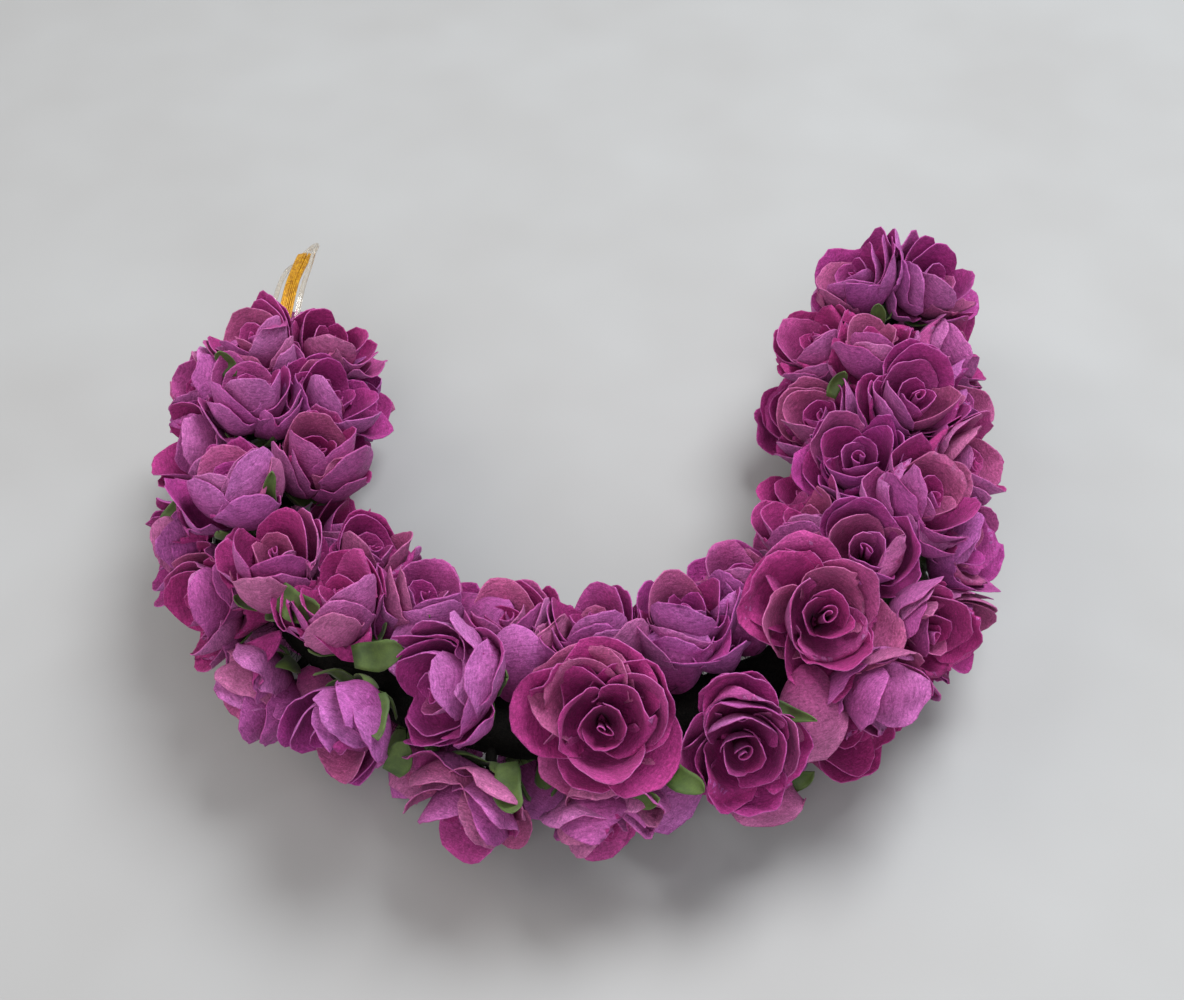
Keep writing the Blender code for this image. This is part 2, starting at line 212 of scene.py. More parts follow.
# Outer petals that stand out in the picture, on the rose's own axis: the way they point, in degrees from
# right, their width, and how far they have opened.
OWN_PETALS = {
    "top_06": ((55, 11.0, 0.15), (24, 12.5, 0.9), (12, 11.0, 0.0), (-35, 11.5, 0.1)),
    "top_07": (
        (35, 15.5, 0.75), (-25, 15.0, 0.75), (140, 12.0, 0.1),
        (122, 16.5, 0.95), (78, 15.5, 0.9), (158, 14.5, 0.9),
    ),
    "top_08": ((150, 15.5, 0.75), (105, 14.0, 0.7), (-95, 15.5, 0.7), (-25, 15.0, 0.7)),
    "top_11": ((172, 13.0, 0.8),),
    "top_14": ((75, 12.0, 0.0), (20, 12.5, -0.1)),
    "inner_01": ((10, 13.5, 0.5),),
    "inner_02": ((15, 13.5, 0.6),),
    "inner_06": ((-120, 14.0, 0.1), (-55, 14.5, 0.1)),
    "inner_07": ((-125, 15.5, 0.1), (-70, 15.5, 0.0), (-92, 17.0, 0.7)),
    "inner_08": ((-115, 14.5, 0.1), (-60, 14.5, 0.0), (-84, 16.0, 0.7)),
    "inner_09": ((-100, 13.5, 0.2), (-125, 15.0, 0.7)),
    "outer_01": ((150, 13.0, 0.6),),
    "outer_03": ((-120, 14.0, 0.6),),
    "outer_05": ((95, 14.0, 0.3),),
    "outer_12": ((5, 12.5, 0.7), (110, 12.5, 0.0)),
    "lower_outer_03": ((60, 14.0, 0.4), (120, 14.0, 0.4)),
    "lower_outer_04": ((70, 14.0, 0.4), (120, 13.5, 0.4)),
}
OWN_EASE = 1.6
OWN_GRID = (19, 9)
# Petals that are seen from outside, between the roses: the root's place in the picture, the way they point,
# how deep they lie as a distance from the band, their width, and their length.
LOW_PETALS = {
    "inner_04": (((390, 650), 95, 6.4, 10.0, 8.0),),
    "inner_05": (((430, 600), -95, 14.4, 12.5, 12.0), ((448, 596), -40, 13.6, 12.0, 12.0)),
    "inner_07": (((514, 702), 95, 6.4, 11.0, 9.0),),
    "inner_08": (((676, 694), 90, 6.4, 12.0, 9.0),),
    "inner_09": (((742, 656), 80, 6.4, 12.0, 9.0),),
    "outer_05": (((764, 772), -82, 11.0, 13.0, 7.4),),
    "outer_06": (((852, 690), -6, 14.0, 10.5, 8.6), ((806, 664), -82, 11.5, 14.0, 12.5)),
    "outer_11": (((916, 338), 70, 7.0, 11.0, 8.0),),
    "lower_outer_02": (((304, 668), -60, 6.4, 10.0, 8.0),),
}
LOW_PROFILE = ((0.0, 0.0), (3.4, -2.0), (6.8, -3.0), (9.8, -2.4), (11.6, -0.4), (12.4, 1.8))
LOW_WRAP = (3.4, 5.8, 8.0)
LOW_PLACE = 0.75

# Green lobes that show in the picture: their place, the way they point, how deep they lie, their length
# and half their width.
LOBES = (
    ((226, 368), 100, 17.0, 4.6, 1.2), ((170, 516), 60, 14.4, 4.8, 1.6), ((270, 497), 85, 16.8, 6.4, 0.9),
    ((290, 603), -25, 16.6, 8.8, 2.2), ((372, 656), 10, 14.8, 7.4, 1.9), ((376, 716), -80, 16.0, 7.6, 1.8),
    ((396, 764), 60, 13.0, 5.4, 1.6), ((508, 787), -80, 14.8, 8.0, 2.0), ((632, 799), 5, 14.6, 6.0, 1.5),
    ((674, 774), -30, 13.4, 8.0, 1.8), ((797, 783), 40, 13.0, 4.8, 1.5), ((795, 548), 20, 13.4, 4.6, 1.2),
    ((836, 388), 70, 15.8, 5.0, 1.0), ((790, 712), -20, 13.6, 6.4, 1.0), ((415, 625), 30, 11.4, 6.0, 1.4),
    ((876, 322), 80, 13.4, 4.6, 1.3),
)
LOBE_TILT = 0.4
# The lobes behind every rose: how many, and their lengths and half width.
CALYX_LOBES = 5
CALYX_LENGTHS = (6.4, 8.2)
CALYX_HALF_WIDTH = 1.7

# How each rose of a row lies in the picture, in the row's order: the way it faces (right, up and towards the
# viewer), how far it has opened, how far it sits from its place in the source (right and up), and its turn
# round its own axis, in radians.
IN_VIEW = {
    "inner": (
        ((0.35, 0.7, 0.4), 0.3, (-0.9, -3.1), 3.3), ((0.5, 0.6, 0.4), 0.4, (0, 0), 4.4),
        ((0.05, 0.75, 0.6), -0.1, (-0.7, 0), 1.1), ((0.2, 0.75, 0.45), 0.15, (-0.8, -0.6), 2.2),
        ((0.2, 0.85, 0.35), 0.1, (-0.6, -1.6), 2.2), ((-0.2, 0.8, 0.45), 0.25, (-0.4, -1.0), 4.4),
        ((-0.1, 0.85, 0.4), 0.3, (-0.8, -0.4), 4.4), ((0.05, 0.75, 0.55), 0.2, (0, -0.9), 4.4),
        ((0, 0.85, 0.45), 0.2, (0.2, -0.7), 0), ((-0.2, 0.8, 0.4), 0.2, (0.7, 0), 0),
        ((-0.3, 0.75, 0.45), 0.3, (1.8, 0.3), 3.3), ((-0.3, 0.5, 0.6), 0.1, (0, 0), 4.4),
        ((-0.3, 0.75, 0.5), 0.25, (0.6, -0.6), 3.3),
    ),
    "lower_inner": (
        ((0.8, 0.3, 0.3), 0.3, (-0.8, 0), 1.1), ((0.45, 0.7, 0.35), 0.2, (-1.8, -1.2), 2.2),
        ((-0.5, 0.4, 0.7), 0, (1.3, 1.0), 4.4),
    ),
    "top": (
        ((-0.3, 0.7, 0.5), 0.1, (0.9, -3.1), 0.9), ((0.15, 0.85, 0.3), 0.15, (0, 0), 3.3),
        ((-0.2, 0.85, 0.3), 0, (0, 0), 4.4), ((0, 0.8, 0.5), 0.05, (0, 0), 2.2),
        ((-0.2, 0.75, 0.45), 0.1, (0, 0), 2.2), ((-0.8, -0.1, 0.5), 0.1, (0, 0), 2.2),
        ((-0.02, -0.08, 1.0), 0.75, (0, 0), 2.2), ((0.12, 0.12, 0.95), 0.85, (0, 0), 5.3),
        ((-0.05, 0.3, 0.9), 0.2, (0, 0), 0), ((0.5, 0.4, 0.6), 0.45, (0, 0), 4.4),
        ((-0.05, 0.4, 0.85), 0.35, (0, 0), 3.3), ((0.2, 0.35, 0.85), 0.35, (0, 0), 3.3),
        ((0.1, 0.85, 0.4), 0.15, (0, 0), 3.3), ((-0.5, 0.6, 0.5), 0.2, (1.4, -0.6), 0),
    ),
    "outer": (
        ((-0.7, 0.35, 0.45), 0.3, (2.2, -0.3), 3.3), ((-0.8, 0.1, 0.5), 0.3, (2.6, 0), 4.4),
        ((-0.8, -0.1, 0.5), 0.3, (1.6, 0.8), 3.2), ((-0.3, -0.75, 0.45), 0.1, (0, 0), 0.8),
        ((-0.03, -0.12, 1.0), 0.5, (0, 0.9), 3.3), ((0.5, -0.4, 0.7), 0.5, (0, 0), 1.1),
        ((0.5, -0.1, 0.8), 0.3, (-0.8, 0.6), 3.3), ((0.7, 0.05, 0.6), 0.5, (-2.6, 0.5), 2.2),
        ((0.8, 0.15, 0.5), 0.4, (-2.2, 0.2), 3.3), ((0.8, 0.2, 0.45), 0.3, (-2.9, 0), 3.3),
        ((0.8, 0.3, 0.45), 0.4, (-1.6, 0), 3.3), ((0.45, 0.45, 0.7), 0.3, (0.9, -0.2), 4.4),
    ),
    "lower_outer": (
        ((-0.85, 0, 0.4), 0.5, (-0.2, 0.3), 0), ((-0.75, -0.5, 0.2), 0.3, (0.8, 0.9), 3.2),
        ((-0.45, -0.75, 0.35), 0.5, (-0.4, 0.4), 0.7), ((0.2, -0.88, 0.25), 0.35, (-0.2, 0.8), 1.6),
        ((0.3, -0.25, 0.85), 0.15, (0.2, 3.3), 1.1), ((0.6, -0.4, 0.6), 0.3, (-0.4, 0.8), 0),
    ),
}
END_NUDGES = {"end_01": (0.0, -1.2), "end_02": (0.8, 0.0)}
# How much a rose keeps of its own axis when it is turned to face as in the picture.
OWN_LEAN = 0.2
# The room that petals leave round the band.
BAND_ROOM = 0.5
# Roses that keep back from the loop, and how far out of the band's end their petals may come.
BEHIND_LOOP = ("top_01", "inner_01")
LOOP_LIMIT = -0.4

# How a line of sight is searched for a place near the band.
SIGHT_REACH = 90
SIGHT_STEP = 0.4
BAND_SPOTS = 160

# The band's grid, and the fibres of its coat.
BAND_GRID = (150, 28)
BAND_TAPER = (0.05, 0.72, 0.94, 1.0)
FIBRES = 6400
FIBRE_PARTS = 4
FIBRE_LENGTHS = (0.9, 3.0)
FIBRE_HALF_WIDTH = 0.035

# The floor's half width, and the spot on the garland that the lights point at, which is in metres.
FLOOR_REACH = 700
LIGHT_AIM = Vector((0, 0, 0.015))


def band_point(station):
    """The middle of the band at a station, and the direction along the band there."""
    turned = min(max(station - LEFT_ARM, 0.0), math.pi * BEND_RADIUS) / BEND_RADIUS
    along = Vector((math.sin(turned), -math.cos(turned), 0.0))
    over = station - LEFT_ARM - turned * BEND_RADIUS
    x = BEND_CENTRE[0] - BEND_RADIUS * math.cos(turned)
    y = BEND_CENTRE[1] - BEND_RADIUS * math.sin(turned)
    return Vector((x, y, BAND_HEIGHT)) + along * over, along


def frame_at(station, angle):
    """The point in the band, the outward axis of a rose there, and the direction along the band."""
    point, along = band_point(station)
    outer = Vector((along.y, -along.x, 0.0))
    turn = math.radians(angle)
    return point, outer * math.sin(turn) + Vector((0, 0, math.cos(turn))), along


def places():
    """Every rose's station, angle, row and number in the row."""
    chance = random.Random(SEED)
    found = []
    for name, row in ROWS.items():
        found += [(station, angle, name, number) for number, (station, angle) in enumerate(row, 1)]
    found += [(0.0, 0.0, "end", 1), (RUN, 0.0, "end", 2)]
    for number in range(2 * UNDER_PAIRS):
        swing = chance.uniform(-UNDER_SWING, UNDER_SWING)
        station = UNDER_START + 2 * UNDER_PITCH * (number // 2) + UNDER_PAIR_GAP * (number % 2)
        found.append((station, UNDER_ANGLE + swing, "under", number // 2 + 1))
    return found


def end_of_band(side):
    """The middle of the band's left (0) or right (1) end, and the direction out of the garland there."""
    point, along = band_point((RUN - BAND_ENDS[1]) if side else BAND_ENDS[0])
    return point, along if side else -along


def petal_grid(wide, tall):
    """Steps across a petal, from -1 to 1, and along it, from 0 to 1, with a narrow one at each cut edge."""
    across = np.linspace(-1 + CUT_EDGE, 1 - CUT_EDGE, wide)
    along = 1 - RIM_ROW - (1 - RIM_ROW) * (1 - np.linspace(0, 1, tall)) ** ROW_CROWDING
    return np.concatenate([[-1.0], across, [1.0]]), np.concatenate([along, [1.0]])


class Rose:
    """One rose: its axes, foot and head, and the planes where its neighbours begin."""

    def __init__(self, station, angle, row, number, chance):
        point, axis, along = frame_at(station, angle)
        if row == "end":
            point, out = end_of_band(station > 0)
            point -= out * END_SETBACK
            axis, along = (out - Vector((0, 0, END_DROOP))).normalized(), RIGHT
        self.row, self.number = row, number
        self.name = f"{row}_{number:02d}"
        self.node = "rose_" + self.name
        self.depth = UNDER_DEPTH if row == "under" else ROSE_DEPTH
        self.size = 1.0 if row == "under" else chance.uniform(*ROSE_SIZES)
        lean = Vector([chance.uniform(-ROSE_LEAN, ROSE_LEAN) for _ in range(3)])
        self.base = point
        self.foot = point + axis * (UNDER_FOOT if row == "under" else FOOT_REACH)
        self.aim(axis + lean, along)
        self.spin = chance.uniform(0, 2 * math.pi)
        self.bloom = BLOOM_MIDDLE + BLOOM_SPREAD * chance.uniform(-1, 1)
        self.head = self.foot + self.axis * self.depth * HEIGHT_OF_HEAD
        self.walls = []
        if row == "end":
            self.walls.append((Vector((0, 0, 1)), BAND_HEIGHT + END_HEADROOM - self.head.z))

    def aim(self, axis, side):
        """Turns the rose to an axis, with its side as near to another way as can be."""
        self.axis = axis.normalized()
        self.side = (side - self.axis * side.dot(self.axis)).normalized()
        self.other = self.axis.cross(self.side)

    def face(self, right, up, near, bloom):
        """Turns and opens the rose in its place as in the picture."""
        wanted = (RIGHT * right + UPWARD * up + NEARER * near).normalized()
        self.aim(wanted + self.axis * OWN_LEAN, self.side)
        self.bloom = bloom

    def nudge(self, right, up):
        """Moves the rose in the plane of the picture."""
        self.head = self.head + RIGHT * right + UPWARD * up

    def settle(self):
        """Seats the foot under the head, and keeps the axes as arrays, for whole petals at once."""
        self.foot = self.head - self.axis * self.depth * HEIGHT_OF_HEAD
        if self.row not in ("under", "end"):
            inward = self.base - self.head
            self.walls.append((inward.normalized(), inward.length - BAND_RADIUS - BAND_ROOM))
        if self.name in BEHIND_LOOP:
            end, out = end_of_band(0)
            self.walls.append((out, (end - self.head).dot(out) + LOOP_LIMIT))
        self.frame = np.array([self.side, self.other, self.axis])
        self.origin = np.array(self.foot)
        self.middle = np.array(self.head)
        self.planes = [(np.array(normal), distance) for normal, distance in self.walls]

    def turn_to(self, degrees):
        """The turn round the rose that a way in the picture stands for."""
        way = way_in_picture(degrees)
        return math.atan2(way.dot(self.other), way.dot(self.side))

    def world(self, local, ease=1.0):
        """Points of the part from points of the upright rose, pressed in where neighbours stand."""
        across, height = local[..., :2] * self.size, local[..., 2]
        stretch = self.depth / ROSE_DEPTH
        line = self.origin + height[..., None] * stretch * self.frame[2]
        spoke = across @ self.frame[:2]
        widest = (REACH[0] + (REACH[1] - REACH[0]) * max(self.bloom, 0.0)) * ease
        pressed = (np.linalg.norm(across, axis=-1) / widest) ** CROWD_SHARPNESS
        for normal, distance in self.planes:
            room = np.maximum(distance * CROWD_ROOM * ease - (line - self.middle) @ normal, LEAST_ROOM)
            pressed = pressed + np.maximum(0.0, spoke @ normal / room) ** CROWD_SHARPNESS
        kept = (1.0 + pressed) ** (-1.0 / CROWD_SHARPNESS)
        lost = np.linalg.norm(spoke, axis=-1) * (1 - kept)
        return on_ground(line + spoke * kept[..., None] + (lost * CROWD_LIFT)[..., None] * self.frame[2])


class PicturePlace:
    """A place at a point of the picture, with axes along its heading, across it and towards the viewer."""

    def __init__(self, pixel, heading, depth, tilt=0.0, turned=False):
        eye = CAMERA_TARGET + NEARER * CAMERA_DISTANCE
        x, y = pixel[0] - PICTURE[0] / 2, pixel[1] - PICTURE[1] / 2
        ray = RIGHT * x - UPWARD * y - NEARER * FOCAL_PIXELS
        ray.normalize()
        steps = np.arange(CAMERA_DISTANCE - SIGHT_REACH, CAMERA_DISTANCE + SIGHT_REACH, SIGHT_STEP)
        sight = np.array(eye) + steps[:, None] * np.array(ray)
        band = np.array([tuple(band_point(station)[0]) for station in np.linspace(0, RUN, BAND_SPOTS)])
        apart = np.linalg.norm(sight[:, None] - band[None], axis=2).min(axis=1)
        reached = np.nonzero(apart < depth)[0]
        self.origin = sight[reached[0] if len(reached) else apart.argmin()]
        way = way_in_picture(heading)
        facing = (NEARER - way * tilt).normalized() * (-1 if turned else 1)
        way = (way - facing * way.dot(facing)).normalized()
        self.frame = np.array([way, facing.cross(way), facing])

    def world(self, local):
        """Points of the part from points given along the place's axes."""
        return on_ground(self.origin + local @ self.frame)


def way_in_picture(degrees):
    """The way in the picture that is this many degrees round from right."""
    return RIGHT * math.cos(math.radians(degrees)) + UPWARD * math.sin(math.radians(degrees))


def on_ground(points):
    """Points eased up where they would sink into the ground."""
    low = points[..., 2] < GROUND_SOFTNESS
    eased = GROUND_SOFTNESS * np.exp(np.minimum(points[..., 2] / GROUND_SOFTNESS - 1, 0))
    points[..., 2] = np.where(low, eased, points[..., 2])
    return points


def spread(roses):
    """Moves apart the heads that are too close, so that each has room for its petals."""
    for _ in range(SPREAD_ROUNDS):
        for first in roses:
            for second in roses:
                apart = first.head - second.head
                short = LEAST_SPACING - apart.length
                if first is second or short <= 0 or "under" in (first.row, second.row):
                    continue
                push = apart.normalized() * short * SPREAD_STEP
                for rose, step in ((first, push), (second, -push)):
                    step = step - rose.axis * step.dot(rose.axis)
                    rose.head += step
                    rose.foot += step * FOOT_FOLLOWS


def build_walls(roses):
    """Gives each rose the planes between it and its neighbours."""
    for rose in roses:
        for other in roses:
            apart = other.head - rose.head
            if rose.node == other.node or apart.length > NEAR_REACH:
                continue
            lead = BLOOM_LEAD * (rose.bloom - other.bloom)
            lead += SPIN_LEAD * (math.sin(rose.spin) - math.sin(other.spin))
            lead += SEEN_LEAD * ((other.row == "under") - (rose.row == "under"))
            share = min(max(0.5 + lead, LEAST_SHARE), 1 - LEAST_SHARE)
            rose.walls.append((apart.normalized(), apart.length * share))


def smooth_line(points, steps):
    """A smooth run through points of two or three coordinates, by Catmull and Rom's rule."""
    points = np.array(points, float)
    padded = np.vstack([points[:1], points, points[-1:]])
    t = (np.arange(steps) / steps)[:, None]
    runs = []
    for p0, p1, p2, p3 in zip(padded, padded[1:], padded[2:], padded[3:]):
        runs.append(0.5 * (2 * p1 + (p2 - p0) * t + (2 * p0 - 5 * p1 + 4 * p2 - p3) * t ** 2
                           + (3 * p1 - p0 - 3 * p2 + p3) * t ** 3))
    return np.vstack([*runs, points[-1:]])


def lengths_along(line):
    """The length run at each point of a line."""
    return np.concatenate([[0.0], np.cumsum(np.linalg.norm(np.diff(line, axis=0), axis=1))])


def ripple(across, along, chance):
    """The crumple of the paper: waves in directions of their own."""
    total = 0.0
    for length, height in CRUMPLE:
        heading, phase = chance.uniform(0, math.pi), chance.uniform(0, 2 * math.pi)
        place = (across * math.cos(heading) + along * math.sin(heading)) * 2 * math.pi / length
        total = total + height * np.arcsin(np.sin(place + phase) * CRISP) / math.asin(CRISP)
    return total


def fold_back(across, along, middle, ball, chance):
    """A part of the rim folded over along a line: the flat place it comes to, and how far it lifts."""
    heading = chance.uniform(-FOLD_TILT, FOLD_TILT)
    line_at = ball * chance.uniform(*FOLD_PLACE)
    most = chance.uniform(*FOLD_BEND)
    inwards = chance.random() < FOLD_INWARDS
    beyond = np.maximum(across * math.sin(heading) + (along - middle) * math.cos(heading) - line_at, 0.0)
    bend = most * np.minimum(beyond / FOLD_RADIUS, 1.0)
    taken = beyond * (1 - np.cos(bend))
    lifted = (beyond * np.sin(bend) + FOLD_LIFT * np.minimum(beyond, 1.0)) * (-1 if inwards else 1)
    return across - taken * math.sin(heading), along - taken * math.cos(heading), lifted


def petal_profile(ring, bloom, chance):
    """A petal's line from root to rim, as radius and height, between the closed one and the open one."""
    bloom = min(max(bloom + chance.uniform(-BLOOM_SWING, BLOOM_SWING), -0.2), 1.15)
    profile = np.array(ring["closed"]) * (1 - bloom) + np.array(ring["open"]) * bloom
    place = ring["place"]
    profile[-2:] += (chance.uniform(-0.6, 0.3) * place, chance.uniform(-0.8, 0.8) * (0.25 + place))
    return smooth_line(profile, 6)


def petal_outline(turns, ball, length, columns, share, chance):
    """The petal laid flat: places across and along it, from a narrow root to a ragged round rim."""
    pinch = chance.uniform(-0.05, 0.09)
    phase = chance.uniform(0, 6)
    edge = 1 + pinch * np.exp(-(turns / 0.4) ** 2)
    for step, (count, height) in enumerate(EDGE_WAVES, 1):
        edge = edge + height * np.sin(count * turns + step * phase)
    edge = ball * edge
    rim = np.stack([edge * np.sin(turns), length - ball + edge * np.cos(turns)], -1)
    root = np.stack([columns * 0.8, 0 * columns], -1)
    return root * (1 - share) + rim * share


def bend_across(ring, flat, across, along, ball, length, turns, share, chance):
    """The petal bent round the rose: how far each place lies sideways and inwards of the petal's line."""
    place = ring["place"]
    part = np.clip(along / length, 0, 1)
    wrap = np.interp(part, WRAP_AT, ring["wrap"]) * chance.uniform(*PETAL_WRAPS)
    bow = across / wrap
    sideways = wrap * np.sin(bow)
    inward = wrap * (1 - np.cos(bow))
    round_share = np.hypot(across, np.maximum(along - (length - ball), 0)) / ball
    inward += ring["cup"] * (across / ball) ** 2 * np.sin(math.pi * part)
    inward -= ring["roll"] * chance.uniform(0.2, 1.5) * np.maximum(0.0, (round_share - 0.62) / 0.38) ** 2
    inward -= ring["twist"] * across / ball * np.minimum(part * 2, 1)
    inward += (0.15 + 0.75 * place) * ripple(flat[..., 0], flat[..., 1], chance) * share ** 1.5
    waves = np.sin(turns * chance.uniform(3.5, 6.0) + chance.uniform(0, 6))
    inward += RUFFLE * (0.3 + place) * waves * share ** 5
    crease = chance.uniform(-0.6, 0.9) * place
    inward += crease * np.exp(-(across / 1.2) ** 2) * part ** 2
    return sideways, inward, part


def turn_round(out, sideways, up, turn):
    """A grid of points of the upright rose, turned round its axis."""
    return np.stack([
        out * math.cos(turn) - sideways * math.sin(turn),
        out * math.sin(turn) + sideways * math.cos(turn),
        up,
    ], -1)


def petal(ring, number, bloom, turn, chance, grid):
    """One petal as a grid of points of the upright rose, with its flat place in millimetres."""
    columns, rows = grid
    width = ring["width"] * chance.uniform(*PETAL_WIDTHS)
    ball = width / 2
    line = petal_profile(ring, bloom, chance)
    reach = lengths_along(line)
    length = reach[-1] * chance.uniform(*PETAL_LENGTHS)
    turns, share = columns * ROUND, rows[:, None]
    flat = petal_outline(turns, ball, length, columns, share[..., None], chance)
    across, along = flat[..., 0], flat[..., 1]
    lifted = 0.0
    if chance.random() < FOLD_CHANCE[number]:
        across, along, lifted = fold_back(across, along, length - ball, ball, chance)

    curves = np.hstack([line, np.gradient(line, axis=0)]).T
    radius, height, out, up = (np.interp(along, reach, curve) for curve in curves)
    size = np.hypot(out, up)
    out, up = out / size, up / size
    sideways, inward, part = bend_across(ring, flat, across, along, ball, length, turns, share, chance)
    inward -= lifted

    place = ring["place"]
    radial = radius - inward * up
    height = height + inward * out
    tip, tilt = chance.gauss(0, 0.1) * place, chance.gauss(0, 0.14) * place
    sideways = sideways + chance.uniform(-1.3, 1.3) * place * part
    radial, height = radial + tip * height, height - tip * radial + tilt * sideways
    return turn_round(radial, sideways, height, turn), flat


def rolled_heart(chance):
    """The tiny rolled strip in the middle of a rose, as a grid."""
    rows = np.array([0.0, 0.5, 0.85, 0.96, 1.0])
    t = np.linspace(0, 1, 22)
    turn = t * 2 * math.pi * chance.uniform(0.9, 1.4) + chance.uniform(0, 6)
    outward = 0.25 + 1.25 * t + 0.15 * np.sin(9 * t + chance.uniform(0, 6))
    squeeze = chance.uniform(0.35, 0.7)
    top = HEART_TOP - 0.8 * t + 0.25 * np.sin(2 * turn + chance.uniform(0, 6))
    share = rows[:, None]
    radius = outward * (0.75 + 0.25 * share) + 0.15 * share ** 6
    height = HEART_ROOT + (top - HEART_ROOT) * share
    heading = chance.uniform(0, 6)
    spot = turn_round(radius * np.cos(turn), radius * np.sin(turn) * squeeze, height, heading)
    return spot, np.stack([turn * outward + 0 * share, height], -1)


def heart_floor():
    """The small round of paper at the bottom of a rose's heart, as a grid."""
    out = np.array([0.1, 0.9, 1.7, 2.4])[:, None]
    turns = np.linspace(0, 2 * math.pi, 15)
    up = 0.9 + 0.1 * out ** 2
    spot = np.stack([out * np.cos(turns), out * np.sin(turns), up + 0 * turns], -1)
    return spot, spot[..., :2].copy()


def sepal(turn, length, chance, half_width=CALYX_HALF_WIDTH):
    """One green lobe of the calyx behind a rose, as a grid."""
    columns = np.array([-1.0, -0.7, -0.35, 0.0, 0.35, 0.7, 1.0])
    rows = np.array([0.0, 0.15, 0.3, 0.45, 0.6, 0.75, 0.88, 0.96, 1.0])
    blunt = np.array([0.75, 0.9, 0.98, 1.0, 0.98, 0.88, 0.66, 0.38, 0.08])
    sharp = np.array([0.75, 0.95, 1.0, 0.95, 0.82, 0.6, 0.34, 0.14, 0.03])
    width = half_width * chance.uniform(0.9, 1.15) * (blunt if chance.random() < 0.6 else sharp)
    flare = chance.uniform(-1.2, 2.6)
    profile = np.array(((0.7, -0.4), (3.0, -0.5), (5.8, 0.1 + 0.25 * flare), (8.8, 0.6 + flare)))
    line = smooth_line(profile, 4)
    reach = lengths_along(line)
    along = rows * length
    out = np.interp(along, reach, line[:, 0])[:, None] + 0 * columns
    keel = 0.45 * (1 - columns ** 2) * np.minimum(rows * 3, 1)[:, None]
    up = np.interp(along, reach, line[:, 1])[:, None] - keel
    sideways = width[:, None] * columns + 0.25 * np.sin(along * 0.9 + chance.uniform(0, 6))[:, None]
    up = up + 0.2 * np.sin(along * 1.3 + chance.uniform(0, 6))[:, None]
    return turn_round(out, sideways, up, turn), np.stack([sideways, along[:, None] + 0 * columns], -1)


class Shell:
    """Gathers many thin closed sheets of paper into one mesh."""

    def __init__(self):
        self.points, self.faces, self.tones, self.flats = [], [], [], []
        self.count = 0

    def add(self, grid, flat, tone, rim=1.0):
        """A grid made paper thick, which keeps its tone, its share from root to rim, its edge and back."""
        rows, columns = grid.shape[:2]
        normal = np.cross(np.gradient(grid, axis=1), np.gradient(grid, axis=0))
        normal /= np.maximum(np.linalg.norm(normal, axis=-1, keepdims=True), 1e-9)
        edge = np.zeros((rows, columns))
        edge[-1, :] = rim
        edge[:, 0] = edge[:, -1] = rim
        whole = np.ones((rows, columns))
        share = whole * np.linspace(0, 1, rows)[:, None]
        place = np.dstack([flat, whole * TONE_STEP * tone])
        for side, back in ((-0.5, 0.0), (0.5, 1.0)):
            face = grid + normal * side * PAPER
            face[..., 2] = np.maximum(face[..., 2], 0.0)
            self.points.append(face.reshape(-1, 3))
            self.tones.append(np.dstack([whole * tone, share, edge, whole * back]).reshape(-1, 4))
            self.flats.append(place.reshape(-1, 3))
        index = np.arange(rows * columns).reshape(rows, columns) + self.count
        quads = np.stack([index[:-1, :-1], index[1:, :-1], index[1:, 1:], index[:-1, 1:]], -1)
        quads = quads.reshape(-1, 4)
        self.faces.append(quads)
        self.faces.append(quads[:, ::-1] + rows * columns)
        ring = np.concatenate([index[0, :-1], index[:-1, -1], index[-1, :0:-1], index[:0:-1, 0]])
        after = np.roll(ring, -1)
        self.faces.append(np.stack([ring, after, after + rows * columns, ring + rows * columns], -1))
        self.count += 2 * rows * columns

    def mesh(self, name, material, rose_tone=0.5):
        """The gathered sheets as one object, with what the material reads kept in its attributes."""
        points, faces = np.vstack(self.points), np.vstack(self.faces)
        obj = mesh_object(name, points, faces, material)
        for label, kind, key, values in (
            ("petal", "FLOAT_COLOR", "color", np.vstack(self.tones)),
            ("flat", "FLOAT_VECTOR", "vector", np.vstack(self.flats)),
            ("rose", "FLOAT", "value", np.full(len(points), rose_tone)),
        ):
            kept = obj.data.attributes.new(label, kind, "POINT")
            kept.data.foreach_set(key, values.astype(np.float32).ravel())
        return obj


def new_object(name, data):
    """A new object in the scene."""
    obj = bpy.data.objects.new(name, data)
    bpy.context.scene.collection.objects.link(obj)
    return obj


def mesh_object(name, points, faces, material):
    """A smooth mesh object in metres from points in millimetres, riding on the part."""
    data = bpy.data.meshes.new(name)
    data.from_pydata(points * MM, [], faces.tolist())
    data.validate()
    data.polygons.foreach_set("use_smooth", np.ones(len(data.polygons), bool))
    data.materials.append(material)
    obj = new_object(name, data)
    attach(obj, "root")
    return obj


def end_route(offsets, steps=2):
    """A smooth run through places given across, out and up from the band's left end."""
    start, out = end_of_band(0)
    points = [start + Vector((x, 0, z)) + out * y for x, y, z in offsets]
    return smooth_line([tuple(point) for point in points], steps)


def tube_curve(name, lines, radius, resolution, material):
    """Round tubes in metres along lines in millimetres, riding on the part."""
    curve = bpy.data.curves.new(name, "CURVE")
    curve.dimensions = "3D"
    curve.bevel_depth = radius * MM
    curve.bevel_resolution = resolution
    curve.use_fill_caps = True
    for line in lines:
        spline = curve.splines.new("POLY")
        spline.points.add(len(line) - 1)
        for spot, point in zip(spline.points, line):
            spot.co = (*(point * MM), 1.0)
        spline.use_smooth = True
    curve.materials.append(material)
    obj = new_object(name, curve)
    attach(obj, "root")
    return obj


